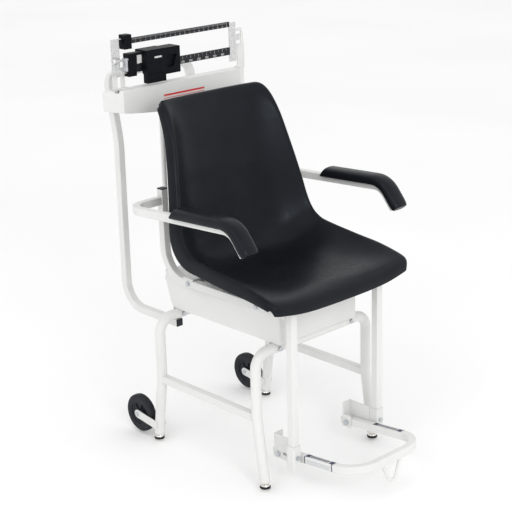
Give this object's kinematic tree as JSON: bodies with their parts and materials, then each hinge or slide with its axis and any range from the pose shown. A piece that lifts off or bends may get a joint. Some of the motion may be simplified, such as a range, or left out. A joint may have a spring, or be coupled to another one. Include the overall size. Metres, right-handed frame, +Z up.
{
  "type": "chair beam scale",
  "caption": "Chair scale: moulded seat with lift-up arms and folding foot-rest on a lever base, two-bar weigh beam with sliding poises on a rear column, transport wheels.",
  "frame": {"origin": "centre of the footprint box, on the floor under the four feet", "axes": "+Z up; the seat faces -Y; +X is the right-hand side of somebody who looks at the front of the chair"},
  "size_m": [0.542, 0.8368, 1.02],
  "materials": {
    "white_powder_coat": "white powder coat on steel tube and sheet",
    "zinc_steel": "zinc-plated steel fasteners and stands",
    "bright_plate": "satin bright steel plates",
    "black_beam": "black beam bars with white graduations",
    "black_poise": "satin black poises",
    "hard_steel": "hardened steel knife edges and bearings",
    "cast_lever": "grey painted cast levers",
    "chrome_trim": "plated cups and knob",
    "black_rubber": "black rubber",
    "black_plastic": "black moulded plastic",
    "black_seat": "black grained moulded seat shell",
    "black_pad": "black moulded arm pads"
  },
  "bodies": {
    "stand": {"front_leg_frame": "white_powder_coat", "rear_leg_frame": "white_powder_coat", "side_stretchers": "white_powder_coat", "foot_cups": "chrome_trim", "foot_rings": "black_rubber", "base_box": "white_powder_coat", "base_lid": "white_powder_coat", "base_bolts": "zinc_steel", "column_frame": "white_powder_coat", "column_plugs": "black_plastic", "shelf_brackets": "white_powder_coat", "beam_shelf": "white_powder_coat", "fulcrum_stand": "white_powder_coat", "trig_stand": "white_powder_coat", "rod_cover": "white_powder_coat", "wheel_straps": "white_powder_coat", "wheel_bolts": "zinc_steel", "fulcrum_posts": "hard_steel", "transfer_pin": "zinc_steel"},
    "wheel_left": {"tyre_left": "black_rubber", "hub_left": "black_plastic"},
    "wheel_right": {"tyre_right": "black_rubber", "hub_right": "black_plastic"},
    "seat": {"seat_tube_left": "white_powder_coat", "seat_tube_right": "white_powder_coat", "seat_tube_caps": "black_plastic", "seat_cross_rails": "white_powder_coat", "load_posts": "zinc_steel", "seat_shell": "black_seat", "seat_bolts": "zinc_steel", "hanger_left": "white_powder_coat", "hanger_right": "white_powder_coat", "footrest_sleeves": "white_powder_coat", "footrest_brackets": "white_powder_coat", "footrest_bolts": "zinc_steel", "arm_pins": "zinc_steel"},
    "footrest": {"footrest_tube": "white_powder_coat", "toe_loop": "white_powder_coat"},
    "arm_left": {"arm_tube_left": "white_powder_coat", "arm_pad_left": "black_pad"},
    "arm_right": {"arm_tube_right": "white_powder_coat", "arm_pad_right": "black_pad"},
    "beam": {"beam_plate_left": "bright_plate", "beam_plate_right": "bright_plate", "upper_bar": "black_beam", "lower_bar": "black_beam", "beam_pivots": "hard_steel", "balance_screw": "zinc_steel"},
    "balance_knob": {"balance_knob": "chrome_trim"},
    "big_poise": {"big_poise": "black_poise", "poise_grip": "black_poise", "poise_latch": "black_poise"},
    "small_poise": {"small_poise": "black_poise"},
    "steelyard_rod": {"steelyard_rod": "zinc_steel"},
    "transfer_lever": {"transfer_lever": "hard_steel"},
    "load_link": {"load_link": "white_powder_coat"},
    "long_lever": {"long_lever": "cast_lever", "long_lever_pivots": "hard_steel"},
    "short_lever": {"short_lever": "cast_lever", "short_lever_pivots": "hard_steel"}
  },
  "joints": [
    {"name": "beam_tilt", "type": "hinge", "parent": "stand", "child": "beam", "pos_m": [-0.17, 0.28662, 0.927], "axis": [0, 1, 0], "range_deg": [-1.2, 1.2]},
    {"name": "load_link_lift", "type": "slide", "parent": "stand", "child": "load_link", "axis": [0, 0, 1], "range_m": [-0.00059, 0.00059]},
    {"name": "transfer_tilt", "type": "hinge", "parent": "stand", "child": "transfer_lever", "pos_m": [0.03, 0.28662, 0.862], "axis": [0, 1, 0], "range_deg": [-0.14738, 0.14738]},
    {"name": "rod_lift", "type": "slide", "parent": "stand", "child": "steelyard_rod", "axis": [0, 0, 1], "range_m": [-0.0002418, 0.0002418]},
    {"name": "long_lever_tilt", "type": "hinge", "parent": "stand", "child": "long_lever", "pos_m": [0, -0.16108, 0.38], "axis": [1, 0, 0], "range_deg": [-0.030946, 0.030946]},
    {"name": "short_lever_tilt", "type": "hinge", "parent": "stand", "child": "short_lever", "pos_m": [0, 0.13602, 0.38], "axis": [1, 0, 0], "range_deg": [-0.030946, 0.030946]},
    {"name": "seat_settle", "type": "slide", "parent": "stand", "child": "seat", "axis": [0, 0, 1], "range_m": [-0.000016204, 0.000016204]},
    {"name": "big_poise_slide", "type": "slide", "parent": "beam", "child": "big_poise", "axis": [1, 0, 0], "range_m": [0, 0.174]},
    {"name": "small_poise_slide", "type": "slide", "parent": "beam", "child": "small_poise", "axis": [1, 0, 0], "range_m": [0, 0.32]},
    {"name": "balance_knob_turn", "type": "hinge", "parent": "beam", "child": "balance_knob", "pos_m": [-0.205, 0.27642, 0.9615], "axis": [1, 0, 0], "continuous": true},
    {"name": "wheel_left_spin", "type": "hinge", "parent": "stand", "child": "wheel_left", "pos_m": [-0.188, 0.27062, 0.0545], "axis": [1, 0, 0], "continuous": true},
    {"name": "wheel_right_spin", "type": "hinge", "parent": "stand", "child": "wheel_right", "pos_m": [0.188, 0.27062, 0.0545], "axis": [1, 0, 0], "continuous": true},
    {"name": "footrest_fold", "type": "hinge", "parent": "seat", "child": "footrest", "pos_m": [0, -0.17238, 0.069], "axis": [-1, 0, 0], "range_deg": [0, 84]},
    {"name": "arm_left_lift", "type": "hinge", "parent": "seat", "child": "arm_left", "pos_m": [-0.164, 0.20112, 0.6245], "axis": [-1, 0, 0], "range_deg": [0, 95]},
    {"name": "arm_right_lift", "type": "hinge", "parent": "seat", "child": "arm_right", "pos_m": [0.164, 0.20112, 0.6245], "axis": [-1, 0, 0], "range_deg": [0, 95]}
  ],
  "couplings": [
    {"joint": "load_link_lift", "follows": "beam_tilt", "m_per_rad": 0.028},
    {"joint": "transfer_tilt", "follows": "beam_tilt", "ratio": 0.12281},
    {"joint": "rod_lift", "follows": "beam_tilt", "m_per_rad": 0.011544},
    {"joint": "long_lever_tilt", "follows": "beam_tilt", "ratio": 0.025785},
    {"joint": "short_lever_tilt", "follows": "beam_tilt", "ratio": -0.025785},
    {"joint": "seat_settle", "follows": "beam_tilt", "m_per_rad": 0.00077354}
  ]
}
